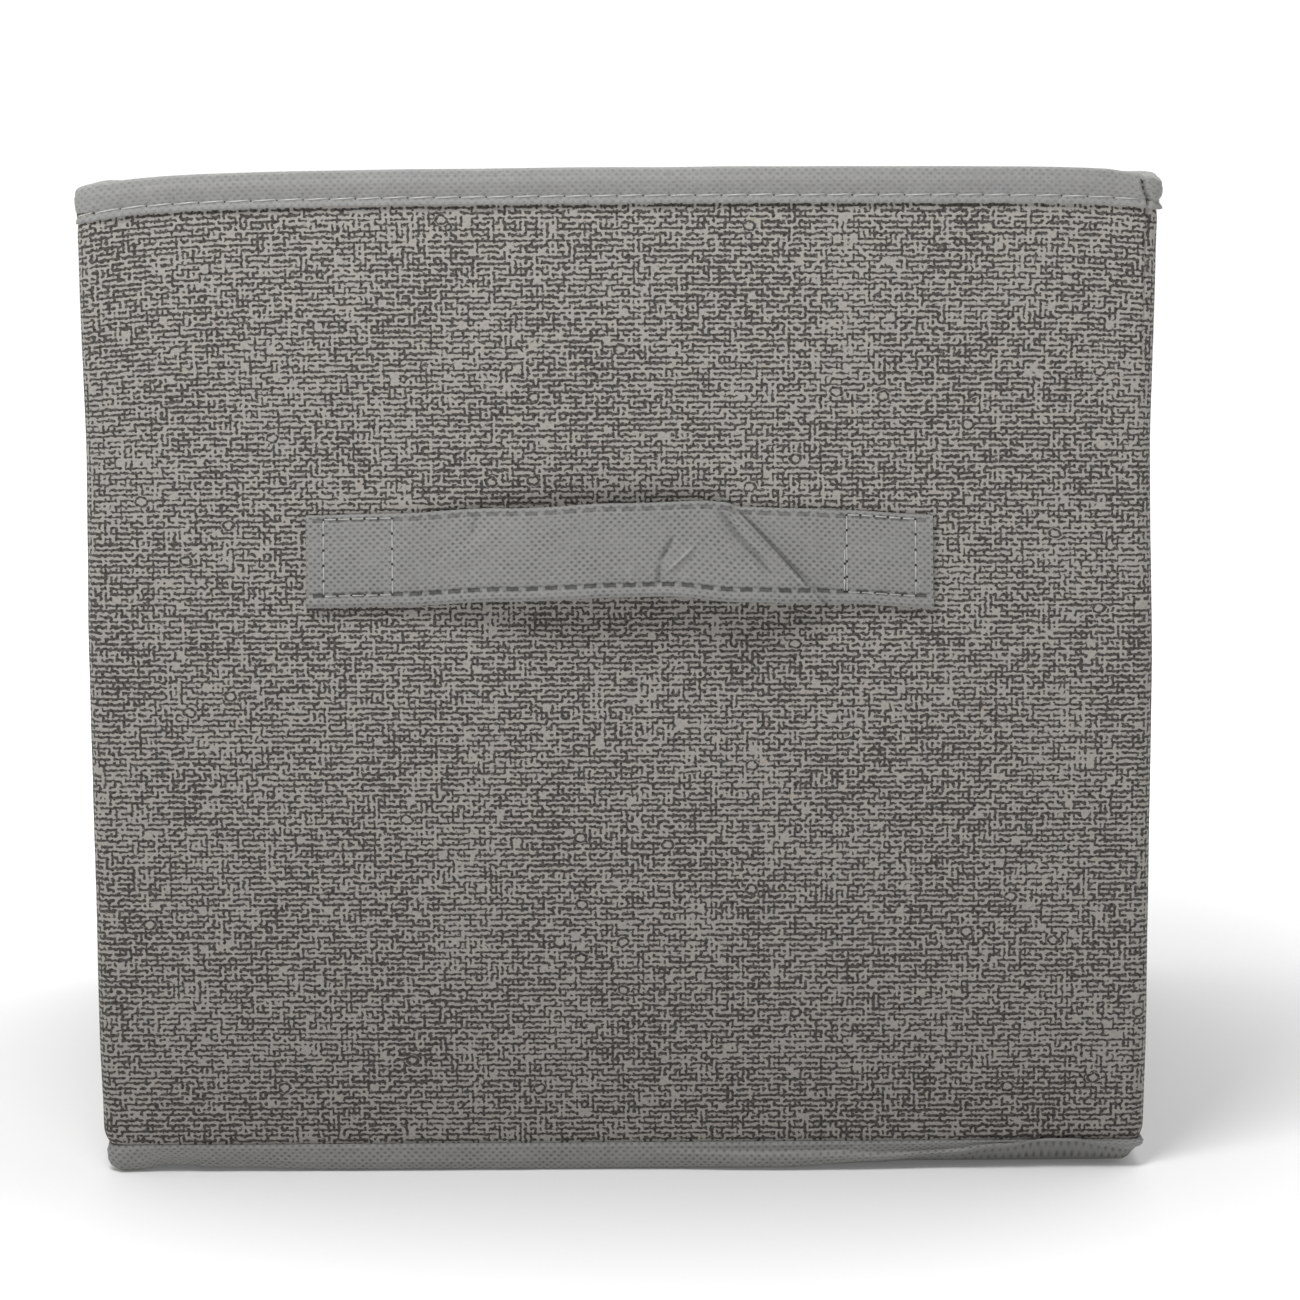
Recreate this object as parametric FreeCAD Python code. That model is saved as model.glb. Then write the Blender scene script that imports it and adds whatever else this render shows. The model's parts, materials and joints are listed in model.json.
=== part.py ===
import FreeCAD, Part

import math
import os

# Collapsible fabric storage bin. Millimetres, +Z up, front towards -Y.
# The origin is the middle of the underside, on the surface that the bin stands on.
# Each wall is a sandwich: a printed non-woven cover, a greyboard stiffener and a thin lining.
# A plain binding is folded over the top edge, and a shallow plain tray closes the bottom.
# The left and right walls are two halves with a crease between them, so the bin folds flat.

# Overall size
WIDTH = 270.0
DEPTH = 258.0
HEIGHT = 256.0

# Wall sandwich, from the outside in
COVER = 0.6
BOARD = 1.6
LINING = 0.4
WALL = COVER + BOARD + LINING

# Corners and creases. The corner radius is also how far the corner hinges stand in from the outside.
CORNER_RADIUS = 4.2
CORNER_GAP = 0.4
CREASE_GAP = 0.6
BOARD_SIDE_MARGIN = 7.0
BOARD_CREASE_MARGIN = 2.0

# Bottom tray
TRAY_CLOTH = 0.8
TRAY_HEIGHT = 7.2
WALL_BASE = 7.5

# Top binding
BINDING = 0.8
BINDING_HEIGHT = 9.0
BINDING_SEAM_UP = 2.0

# Loose base board, wrapped in cloth
BASE_LENGTH_X = 259.0
BASE_LENGTH_Y = 247.0
BASE_CORE = 2.0
BASE_CLOTH = 0.5
BASE_LIFT = 1.1
BASE_CORNER = 3.0
BASE_SEAM_INSET = 6.0

# Carry strap on the front wall
STRAP_CENTRE_Z = 157.8
STRAP_WIDTH = 23.5
STRAP_CLOTH = 1.4
STRAP_HALF_LENGTH = 79.2
STRAP_FREE_HALF = 56.0
STRAP_BOW = 8.0
STRAP_CLEARANCE = 0.3
TAB_GAP = 0.4
TAB_SEAM_INSET = 1.0
TAB_SEAM_OUTER = 74.8
TAB_SEAM_TOP = 10.6
TAB_SEAM_BOTTOM = -8.8

# Thread
THREAD_THICK = 0.3
THREAD_WIDE = 0.4
STITCH_SHARE = 0.86
RIM_STITCH = 6.5
TAB_STITCH = 3.8

HALF_X = WIDTH / 2
HALF_Y = DEPTH / 2
HINGE_X = HALF_X - CORNER_RADIUS
HINGE_Y = HALF_Y - CORNER_RADIUS
BINDING_BASE = HEIGHT - BINDING_HEIGHT
RIM_SEAM_Z = BINDING_BASE + BINDING_SEAM_UP
WALL_TOP = HEIGHT - BINDING
FAR = 2 * WIDTH


def box(x0, x1, y0, y1, z0, z1):
    """A box between two corners, whichever way round they are given."""
    low = FreeCAD.Vector(min(x0, x1), min(y0, y1), min(z0, z1))
    return Part.makeBox(abs(x1 - x0), abs(y1 - y0), abs(z1 - z0), low)


def rounded_slab(half_x, half_y, radius, z0, z1):
    """A flat slab with round vertical corners, centred on the Z axis."""
    edges = []
    turns = [(1, 1, 0), (-1, 1, 90), (-1, -1, 180), (1, -1, 270)]
    ends = []
    for sign_x, sign_y, start in turns:
        centre = FreeCAD.Vector(sign_x * (half_x - radius), sign_y * (half_y - radius), z0)
        points = []
        for degrees in (start, start + 45, start + 90):
            angle = math.radians(degrees)
            points.append(centre + FreeCAD.Vector(math.cos(angle), math.sin(angle), 0) * radius)
        edges.append(Part.Arc(*points).toShape())
        ends.append((points[0], points[-1]))
    for here, after in zip(ends, ends[1:] + ends[:1]):
        edges.append(Part.LineSegment(here[1], after[0]).toShape())
    outline = Part.Wire(Part.__sortEdges__(edges))
    return Part.Face(outline).extrude(FreeCAD.Vector(0, 0, z1 - z0))


def slab(inset, z0, z1):
    """The bin's plan, drawn in by an inset, as a slab. A negative inset stands outside the walls."""
    radius = CORNER_RADIUS - inset
    return rounded_slab(HALF_X - inset, HALF_Y - inset, radius, z0, z1)


def ring(outer_inset, inner_inset, z0, z1):
    """A layer that runs round all four walls, between two insets."""
    return slab(outer_inset, z0, z1).cut(slab(inner_inset, z0, z1))


def wall_regions(corner_gap, crease_gap):
    """Boxes that cut a layer into its six stiff walls, by name."""
    corner = HINGE_Y - corner_gap
    crease = crease_gap / 2
    regions = {
        "front": box(-FAR, FAR, -FAR, -HINGE_Y, -FAR, FAR),
        "back": box(-FAR, FAR, HINGE_Y, FAR, -FAR, FAR),
    }
    for side, sign in (("left", -1), ("right", 1)):
        regions[side + "_front"] = box(0, sign * FAR, -corner, -crease, -FAR, FAR)
        regions[side + "_rear"] = box(0, sign * FAR, crease, corner, -FAR, FAR)
    return regions


def wall_cloths():
    """Cover, lining and top binding of each wall."""
    layers = {
        "cover": ring(0, COVER, WALL_BASE, WALL_TOP),
        "lining": ring(WALL - LINING, WALL, WALL_BASE, WALL_TOP),
        "rim_binding": binding_ring(),
    }
    parts = {}
    for wall, region in wall_regions(CORNER_GAP, CREASE_GAP).items():
        for layer, shape in layers.items():
            parts[wall + "_" + layer] = shape.common(region)
    return parts


def binding_ring():
    """The binding, an upside-down U over the top edge of the walls."""
    outside = ring(-BINDING, 0, BINDING_BASE, WALL_TOP)
    inside = ring(WALL, WALL + BINDING, BINDING_BASE, WALL_TOP)
    cap = ring(-BINDING, WALL + BINDING, WALL_TOP, HEIGHT)
    return outside.fuse([inside, cap]).removeSplitter()


def wall_boards():
    """The greyboard stiffener sewn inside each wall."""
    low, high = WALL_BASE + 2.0, WALL_TOP - 2.0
    end_x = HALF_X - BOARD_SIDE_MARGIN
    end_y = HALF_Y - BOARD_SIDE_MARGIN
    near, far = COVER, COVER + BOARD
    parts = {}
    for wall, sign in (("front", -1), ("back", 1)):
        face = sign * HALF_Y
        parts[wall + "_board"] = box(-end_x, end_x, face - sign * near, face - sign * far, low, high)
    for side, side_sign in (("left", -1), ("right", 1)):
        face = side_sign * HALF_X
        x0, x1 = face - side_sign * near, face - side_sign * far
        for half, sign in (("front", -1), ("rear", 1)):
            y0, y1 = sign * BOARD_CREASE_MARGIN, sign * end_y
            parts[f"{side}_{half}_board"] = box(x0, x1, y0, y1, low, high)
    return parts


def stitch_bar(centre, along, across, length):
    """One stitch: a flat bar of thread, standing THREAD_THICK out from the cloth along its outward normal."""
    half = along * (length / 2)
    side = across * (THREAD_WIDE / 2)
    normal = along.cross(across) * THREAD_THICK
    corners = [centre - half - side, centre + half - side, centre + half + side, centre - half + side]
    wire = Part.makePolygon(corners + corners[:1])
    return Part.Face(wire).extrude(normal)


def stitch_line(start, end, outward, pitch):
    """Stitches evenly spaced along a straight seam from start to end, lying on the cloth."""
    run = end - start
    count = max(1, round(run.Length / pitch))
    step = run * (1.0 / count)
    along = FreeCAD.Vector(run).normalize()
    across = outward.cross(along)
    length = step.Length * STITCH_SHARE
    return [stitch_bar(start + step * (k + 0.5), along, across, length) for k in range(count)]


def rim_stitching():
    """The thread that holds the binding, seen outside and inside each wall."""
    end_x = HINGE_X - 0.5
    end_y = HINGE_Y - 1.0
    crease = 1.0
    outer, inner = -BINDING, WALL + BINDING
    parts = {}

    def rows(place, outward):
        """Stitches outside and inside one wall. place(inset, end) gives a point on the seam."""
        bars = stitch_line(place(outer, 0), place(outer, 1), outward, RIM_STITCH)
        return bars + stitch_line(place(inner, 0), place(inner, 1), -outward, RIM_STITCH)

    for wall, sign in (("front", -1), ("back", 1)):
        def place(inset, end, sign=sign):
            return FreeCAD.Vector((2 * end - 1) * end_x, sign * (HALF_Y - inset), RIM_SEAM_Z)
        parts[wall + "_rim_stitching"] = rows(place, FreeCAD.Vector(0, sign, 0))
    for side, side_sign in (("left", -1), ("right", 1)):
        for half, sign in (("front", -1), ("rear", 1)):
            def place(inset, end, side_sign=side_sign, sign=sign):
                y = sign * (crease + end * (end_y - crease))
                return FreeCAD.Vector(side_sign * (HALF_X - inset), y, RIM_SEAM_Z)
            parts[f"{side}_{half}_rim_stitching"] = rows(place, FreeCAD.Vector(side_sign, 0, 0))
    return {name: Part.makeCompound(bars) for name, bars in parts.items()}


def bottom_tray():
    """The plain bottom panel and its upturned edge, which meets the walls in a seam."""
    band = ring(0, TRAY_CLOTH, TRAY_CLOTH, TRAY_HEIGHT)
    regions = {
        "front": box(-FAR, FAR, -FAR, -HINGE_Y, -FAR, FAR),
        "back": box(-FAR, FAR, HINGE_Y, FAR, -FAR, FAR),
        "left": box(-FAR, 0, -HINGE_Y, HINGE_Y, -FAR, FAR),
        "right": box(0, FAR, -HINGE_Y, HINGE_Y, -FAR, FAR),
    }
    parts = {"base_band_" + side: band.common(region) for side, region in regions.items()}
    parts["bottom_panel"] = slab(0, 0, TRAY_CLOTH)
    return parts


def base_board():
    """The loose board in the bottom: a greyboard core, two cloths sewn round it, and their seam."""
    half_x, half_y = BASE_LENGTH_X / 2, BASE_LENGTH_Y / 2
    low = BASE_LIFT
    core_low = low + BASE_CLOTH
    core_high = core_low + BASE_CORE
    high = core_high + BASE_CLOTH
    middle = (low + high) / 2
    core_x, core_y = half_x - BASE_CLOTH, half_y - BASE_CLOTH
    core = rounded_slab(core_x, core_y, BASE_CORNER - BASE_CLOTH, core_low, core_high)
    top = rounded_slab(half_x, half_y, BASE_CORNER, middle, high).cut(core)
    bottom = rounded_slab(half_x, half_y, BASE_CORNER, low, middle).cut(core)
    seam_x, seam_y = half_x - BASE_SEAM_INSET, half_y - BASE_SEAM_INSET
    corners = [(-seam_x, -seam_y), (seam_x, -seam_y), (seam_x, seam_y), (-seam_x, seam_y)]
    up = FreeCAD.Vector(0, 0, 1)
    bars = []
    for (x0, y0), (x1, y1) in zip(corners, corners[1:] + corners[:1]):
        start, end = FreeCAD.Vector(x0, y0, high), FreeCAD.Vector(x1, y1, high)
        clear = FreeCAD.Vector(end - start).normalize() * THREAD_WIDE
        bars += stitch_line(start + clear, end - clear, up, RIM_STITCH)
    return {
        "base_board_core": core,
        "base_board_top_cloth": top,
        "base_board_bottom_cloth": bottom,
        "base_board_stitching": Part.makeCompound(bars),
    }


def strap():
    """The free middle of the carry strap, bowed out from the front wall."""
    low = STRAP_CENTRE_Z - STRAP_WIDTH / 2
    inner_end = -HALF_Y - STRAP_CLEARANCE
    outer_end = inner_end - STRAP_CLOTH

    def arc(end_y, half):
        left = FreeCAD.Vector(-half, end_y, low)
        middle = FreeCAD.Vector(0, end_y - STRAP_BOW, low)
        right = FreeCAD.Vector(half, end_y, low)
        return Part.Arc(left, middle, right).toShape(), left, right

    inner, inner_left, inner_right = arc(inner_end, STRAP_FREE_HALF)
    outer, outer_left, outer_right = arc(outer_end, STRAP_FREE_HALF)
    ends = [
        Part.LineSegment(inner_left, outer_left).toShape(),
        Part.LineSegment(inner_right, outer_right).toShape(),
    ]
    outline = Part.Wire(Part.__sortEdges__([inner, outer] + ends))
    return Part.Face(outline).extrude(FreeCAD.Vector(0, 0, STRAP_WIDTH))


def strap_tabs():
    """The two ends of the strap, sewn flat to the front wall in a box of stitches."""
    face = -HALF_Y - STRAP_CLOTH
    back = -HALF_Y + WALL
    inner_x = STRAP_FREE_HALF + TAB_GAP
    seam_x = inner_x + TAB_SEAM_INSET
    top, bottom = STRAP_CENTRE_Z + TAB_SEAM_TOP, STRAP_CENTRE_Z + TAB_SEAM_BOTTOM
    low, high = STRAP_CENTRE_Z - STRAP_WIDTH / 2, STRAP_CENTRE_Z + STRAP_WIDTH / 2
    parts = {}
    for side, sign in (("left", -1), ("right", 1)):
        tab = box(sign * inner_x, sign * STRAP_HALF_LENGTH, face, -HALF_Y, low, high)
        corners = [(seam_x, bottom), (TAB_SEAM_OUTER, bottom), (TAB_SEAM_OUTER, top), (seam_x, top)]
        bars = []
        for (x0, z0), (x1, z1) in zip(corners, corners[1:] + corners[:1]):
            for y, outward in ((face, -1), (back, 1)):
                start, end = FreeCAD.Vector(sign * x0, y, z0), FreeCAD.Vector(sign * x1, y, z1)
                clear = FreeCAD.Vector(end - start).normalize() * THREAD_WIDE
                normal = FreeCAD.Vector(0, outward, 0)
                bars += stitch_line(start + clear, end - clear, normal, TAB_STITCH)
        parts["handle_tab_" + side] = tab
        parts["handle_stitching_" + side] = Part.makeCompound(bars)
    return parts


def main():
    parts = {}
    parts.update(wall_cloths())
    parts.update(wall_boards())
    parts.update(rim_stitching())
    parts.update(bottom_tray())
    parts.update(base_board())
    parts.update(strap_tabs())
    parts["handle_strap"] = strap()
    os.makedirs("parts", exist_ok=True)
    for name, shape in sorted(parts.items()):
        volume = sum(solid.Volume for solid in shape.Solids)
        print(f"{name:28s} solids {len(shape.Solids):3d}  volume {volume:10.1f}  valid {shape.isValid()}")
        shape.exportStep(f"parts/{name}.step")


main()
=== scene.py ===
import json
import math

import bpy
from mathutils import Matrix, Vector, noise


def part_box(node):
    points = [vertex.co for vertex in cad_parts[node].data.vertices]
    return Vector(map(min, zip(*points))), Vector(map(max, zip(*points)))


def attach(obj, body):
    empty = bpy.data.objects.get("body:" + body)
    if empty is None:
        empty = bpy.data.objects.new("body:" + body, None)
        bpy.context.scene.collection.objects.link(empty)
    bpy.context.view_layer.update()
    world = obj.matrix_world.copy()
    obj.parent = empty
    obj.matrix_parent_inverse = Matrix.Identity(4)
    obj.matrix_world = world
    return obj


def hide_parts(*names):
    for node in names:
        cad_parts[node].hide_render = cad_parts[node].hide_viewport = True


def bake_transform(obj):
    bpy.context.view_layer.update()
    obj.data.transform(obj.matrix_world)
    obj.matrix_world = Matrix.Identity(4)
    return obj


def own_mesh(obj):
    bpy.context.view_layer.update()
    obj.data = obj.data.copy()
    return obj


# Looks of a folding fabric storage bin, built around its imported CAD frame. Metres, +Z up, front towards -Y.
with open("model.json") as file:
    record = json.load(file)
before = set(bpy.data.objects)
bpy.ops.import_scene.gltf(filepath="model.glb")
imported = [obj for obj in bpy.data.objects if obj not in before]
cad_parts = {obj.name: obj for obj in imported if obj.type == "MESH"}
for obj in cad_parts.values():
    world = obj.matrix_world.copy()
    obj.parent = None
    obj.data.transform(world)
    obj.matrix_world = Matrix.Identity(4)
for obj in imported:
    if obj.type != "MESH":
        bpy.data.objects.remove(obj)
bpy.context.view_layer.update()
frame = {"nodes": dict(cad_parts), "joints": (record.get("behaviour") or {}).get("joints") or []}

MM = 0.001

# ---- places and sizes, all from the frame
joints = {joint["name"]: joint for joint in frame["joints"]}
HALF_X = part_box("front_cover")[1].x
HALF_Y = -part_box("front_cover")[0].y
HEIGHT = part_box("front_rim_binding")[1].z
RADIUS = HALF_X - abs(joints["fold"]["pos_m"][0])
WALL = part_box("left_front_lining")[1].x + HALF_X
BINDING = -HALF_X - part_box("left_front_rim_binding")[0].x
BINDING_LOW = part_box("front_rim_binding")[0].z
RIM_SEAM_Z = sum(corner.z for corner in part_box("front_rim_stitching")) / 2
WALL_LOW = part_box("front_cover")[0].z
TRAY_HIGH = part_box("base_band_front")[1].z
TRAY_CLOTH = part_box("bottom_panel")[1].z
TAB_LOW, TAB_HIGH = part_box("handle_tab_right")
STRAP_LOW, STRAP_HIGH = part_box("handle_strap")
STRAP_Z = (STRAP_LOW.z + STRAP_HIGH.z) / 2
STRAP_WIDTH = STRAP_HIGH.z - STRAP_LOW.z
STRAP_FREE = STRAP_HIGH.x
STRAP_END = TAB_HIGH.x
STRAP_CLOTH = -HALF_Y - TAB_LOW.y
STRAP_BOW = -HALF_Y - STRAP_LOW.y - STRAP_CLOTH
TAB_SEAM_LOW, TAB_SEAM_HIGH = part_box("handle_stitching_right")

RIM_PITCH = 6.5 * MM
TAB_PITCH = 3.8 * MM

# The outline of the walls is followed by u, which is 0 at the middle of the front and grows to the right.
STRAIGHT_X = HALF_X - RADIUS
STRAIGHT_Y = HALF_Y - RADIUS
ARC = math.pi / 2 * RADIUS
U_SIDE = STRAIGHT_X + ARC
U_CREASE = U_SIDE + STRAIGHT_Y
U_BACK = U_SIDE + 2 * STRAIGHT_Y
U_REAR = U_BACK + ARC
U_END = U_REAR + STRAIGHT_X
U_SEAM = STRAIGHT_X + 0.20 * ARC

# Strips of cloth this far each side of a bend belong to the bend.
CORNER_LAP = 4.2 * MM
CREASE_LAP = 5.2 * MM


# ---- shape of the made-up bin
def smooth(t):
    """0 below 0, 1 above 1, and an easy S between them."""
    t = min(1.0, max(0.0, t))
    return t * t * (3 - 2 * t)


def in_mm(*pairs):
    """A table of (place, value) that is written in millimetres."""
    return [(place * MM, value * MM) for place, value in pairs]


def between(table, t, ease=smooth):
    """A curve through a short table of (place, value), or with ease=float straight lines."""
    if t <= table[0][0]:
        return table[0][1]
    for (t0, v0), (t1, v1) in zip(table, table[1:]):
        if t <= t1:
            return v0 + (v1 - v0) * ease((t - t0) / (t1 - t0))
    return table[-1][1]


def bump(distance, width):
    """A round hump of height 1."""
    return math.exp(-(distance / width) ** 2)


def ripple(x, y, size, seed):
    """Smooth noise about 0, whose swells are about size across."""
    return noise.noise(Vector((x / size, y / size, seed)))


def outline(u):
    """Point and outward normal on the outside of the walls, at u."""
    if u > U_END:
        u -= 2 * U_END
    side = 1 if u >= 0 else -1
    rear = 1 if abs(u) > U_CREASE else -1
    s = U_END - abs(u) if rear == 1 else abs(u)
    if s <= STRAIGHT_X:
        x, y, nx, ny = s, HALF_Y, 0.0, 1.0
    elif s <= U_SIDE:
        a = (s - STRAIGHT_X) / RADIUS
        nx, ny = math.sin(a), math.cos(a)
        x, y = STRAIGHT_X + RADIUS * nx, STRAIGHT_Y + RADIUS * ny
    else:
        x, y, nx, ny = HALF_X, U_CREASE - s, 1.0, 0.0
    return side * x, rear * y, side * nx, rear * ny


# How far the walls stand in from their pattern at each height.
TUCK = in_mm((0, -1.6), (10, -1.1), (45, -0.6), (130, -0.3), (185, -0.9), (235, -0.3)) + [(HEIGHT, 0.1 * MM)]
# At each corner, found by the signs of its x and y: how far the rim drops and the foot is nipped in.
CORNERS = {(-1, -1): (4.6 * MM, 2.0 * MM), (1, -1): (2.5 * MM, 1.3 * MM), (-1, 1): (5.0 * MM, 1.2 * MM),
           (1, 1): (4.0 * MM, 1.6 * MM)}
DROP_FROM = 0.62 * HEIGHT


def settle(x, y, z):
    """Where a point of the pattern comes to rest in the made-up bin, tucked and sagging."""
    tuck = between(TUCK, z)
    low = 1 - smooth((z - 4 * MM) / (8 * MM))
    rise = smooth((z - DROP_FROM) / (HEIGHT - DROP_FROM))
    drop = nip = 0.0
    for (sx, sy), (corner_drop, corner_nip) in CORNERS.items():
        away_x, away_y = abs(sx * HALF_X - x), abs(sy * HALF_Y - y)
        away = away_x + 0.4 * away_y
        drop += corner_drop * (0.60 * math.exp(-away / (13 * MM)) + 0.40 * math.exp(-away / (50 * MM)))
        nip += corner_nip * low * math.exp(-(away_x + away_y) / (11 * MM))
    sway = 0.25 * MM * ripple(x, y, 60 * MM, 3.0)
    x *= 1 + (tuck - nip) / HALF_X
    y *= 1 + (tuck - 0.7 * nip) / HALF_Y
    return Vector((x, y, z + rise * (sway - drop)))


def wall_point(u, n, z):
    """The point n outside the walls' outer face."""
    x, y, nx, ny = outline(u)
    return settle(x + nx * n, y + ny * n, z)


def from_seam(u, z):
    """Distance along u from the join at the front right corner, which slants in the rim."""
    slant = 0.24 * max(0.0, z - RIM_SEAM_Z)
    wander = 0.7 * MM * ripple(0.0, z, 5 * MM, 36.0)
    return u - U_SEAM + slant + wander


def corner_groove(u, z):
    """Depth of the closed slit where the cloth is joined, at the front right corner."""
    reach = 0.35 * smooth((z - 0.72 * HEIGHT) / (0.20 * HEIGHT)) + 0.65 * smooth((z - BINDING_LOW) / (2 * MM))
    return 1.4 * MM * reach * bump(from_seam(u, z), 0.5 * MM)


def near_corner(u, width):
    """1 at the middle of each of the bin's corners, fading to 0 along the walls."""
    middles = ((STRAIGHT_X + U_SIDE) / 2, (U_BACK + U_REAR) / 2)
    return max(bump(abs(u) - middle, width) for middle in middles)


def cover_relief(u, z):
    """How far the printed cover lies off the flat: slack over the board, and puckers along its seams."""
    slack = 0.30 * MM * ripple(u, z, 75 * MM, 1.0) + 0.10 * MM * ripple(u, z, 20 * MM, 2.0)
    under_rim = math.exp(-max(0.0, BINDING_LOW - z) / (9 * MM))
    over_foot = math.exp(-(z - WALL_LOW) / (8 * MM))
    pucker = 0.22 * MM * ripple(u, z * 0.3, 5 * MM, 4.0) * under_rim
    pucker += 0.20 * MM * ripple(u, z * 0.3, 6 * MM, 5.0) * over_foot
    turned_in = 0.55 * MM * math.exp(-(z - WALL_LOW) / (0.7 * MM))
    pressed = 0.25 * MM * bump(z - BINDING_LOW, 1.5 * MM)
    crease = 0.5 * MM * bump(abs(u) - U_CREASE, 1.2 * MM)
    return 0.08 * MM + slack + pucker - turned_in - pressed - crease - corner_groove(u, z)


def lining_relief(u, z):
    """How far the lining stands into the bin, off the board."""
    return 0.15 * MM + 0.25 * MM * abs(ripple(u, z, 60 * MM, 7.0)) + 0.08 * MM * ripple(u, z, 17 * MM, 8.0)


def hem_relief(u, z):
    """How the binding's legs lie: plump over the rim, pinched at each needle hole, loose along the hem."""
    pinch = bump(z - RIM_SEAM_Z, 0.8 * MM) * (0.45 + 0.55 * math.cos(math.pi * u / RIM_PITCH) ** 12)
    loose = 0.25 * MM * ripple(u, 0.0, 7 * MM, 9.0) * smooth((RIM_SEAM_Z - z) / (2 * MM))
    soft = 0.12 * MM * ripple(u, z, 11 * MM, 10.0)
    plump = (0.60 + 0.25 * ripple(u, 0.0, 16 * MM, 11.0)) * MM * (1 - 0.85 * near_corner(u, 7 * MM))
    plump *= 1 - 0.65 * smooth((abs(u) - U_SIDE) / (8 * MM)) * smooth((U_BACK - abs(u)) / (8 * MM))
    plump *= bump(z - RIM_SEAM_Z - 3.6 * MM, 2.1 * MM)
    return loose + soft + plump - 0.62 * MM * pinch


# Dip of the top edge each side of the join at the front right corner.
JOIN_DIP = in_mm((-9, 0), (-4, 0.3), (-1.2, 0.7), (0, 1.9), (1.2, 0.9), (3, 0.9), (5, 1.4), (9, 0.7), (16, 0))


def rim_line(u):
    """Height that the top edge gains or loses along the rim."""
    return 0.22 * MM * ripple(u, 0.0, 24 * MM, 12.0) - between(JOIN_DIP, from_seam(u, HEIGHT))


# ---- mesh helpers
def steps(start, end, size):
    """Evenly spaced values from start to end, about size apart."""
    count = max(1, round(abs(end - start) / size))
    return [start + (end - start) * k / count for k in range(count + 1)]


def ring_faces(rings, count):
    """The faces between neighbouring closed rings of count points each."""
    faces = []
    for r in range(rings - 1):
        for k in range(count):
            a, b = r * count + k, r * count + (k + 1) % count
            faces.append((a, b, b + count, a + count))
    return faces


def add_object(name, data):
    """A new object in the scene."""
    made = bpy.data.objects.new(name, data)
    bpy.context.scene.collection.objects.link(made)
    return made


def make_mesh(name, points, faces, corners_uv, materials, face_slot=None, sharp=()):
    """A mesh object with one UV map in metres. sharp holds pairs of points whose edge is a crisp one."""
    mesh = bpy.data.meshes.new(name)
    mesh.from_pydata([tuple(p) for p in points], [], faces)
    layer = mesh.uv_layers.new(name="cloth")
    layer.data.foreach_set("uv", [value for face in corners_uv for uv in face for value in uv])
    for material in materials:
        mesh.materials.append(material)
    if face_slot:
        mesh.polygons.foreach_set("material_index", face_slot)
    mesh.polygons.foreach_set("use_smooth", [True] * len(faces))
    if sharp:
        crisp = {frozenset(pair) for pair in sharp}
        for edge in mesh.edges:
            edge.use_edge_sharp = frozenset(edge.vertices) in crisp
    mesh.validate()
    return add_object(name, mesh)


def make_shell(name, places, levels, material, outer, inner=None, uv=lambda a, b: (a, b)):
    """Cloth over a grid of places and levels: one face thick, or closed round an inner face."""
    high, wide = len(places), len(levels)
    grid = [(place, level) for place in places for level in levels]
    points = [outer(*spot) for spot in grid]
    spot_uv = [uv(*spot) for spot in grid]
    base = len(points)
    starts = [i * wide + j for i in range(high - 1) for j in range(wide - 1)]
    faces = [(a, a + wide, a + wide + 1, a + 1) for a in starts]
    sharp = []
    if inner:
        points += [inner(*spot) for spot in grid]
        faces += [(base + a, base + d, base + c, base + b) for a, b, c, d in faces]
        for a in range(0, base - wide, wide):
            b = a + wide
            faces.append((a, base + a, base + b, b))
            faces.append((b - 1, b - 1 + wide, base + b - 1 + wide, base + b - 1))
        for j in range(wide - 1):
            a = base - wide + j
            faces.append((j, j + 1, base + j + 1, base + j))
            faces.append((a, base + a, base + a + 1, a + 1))
            for k in (j, a, base + j, base + a):
                sharp.append((k, k + 1))
    corners_uv = [[spot_uv[k % base] for k in face] for face in faces]
    return make_mesh(name, points, faces, corners_uv, [material], sharp=sharp)


# ---- materials
class Value:
    """A number in a material's node graph, so that formulas read as formulas."""

    def __init__(self, graph, socket):
        self.graph, self.socket = graph, socket

    def run(self, operation, *others):
        return self.graph.math(operation, self, *others)

    def __add__(self, other):
        return self.run("ADD", other)

    def __sub__(self, other):
        return self.run("SUBTRACT", other)

    def __rsub__(self, other):
        return self.graph.math("SUBTRACT", other, self)

    def __mul__(self, other):
        return self.run("MULTIPLY", other)

    def __truediv__(self, other):
        return self.run("DIVIDE", other)

    __radd__ = __add__
    __rmul__ = __mul__


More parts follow.
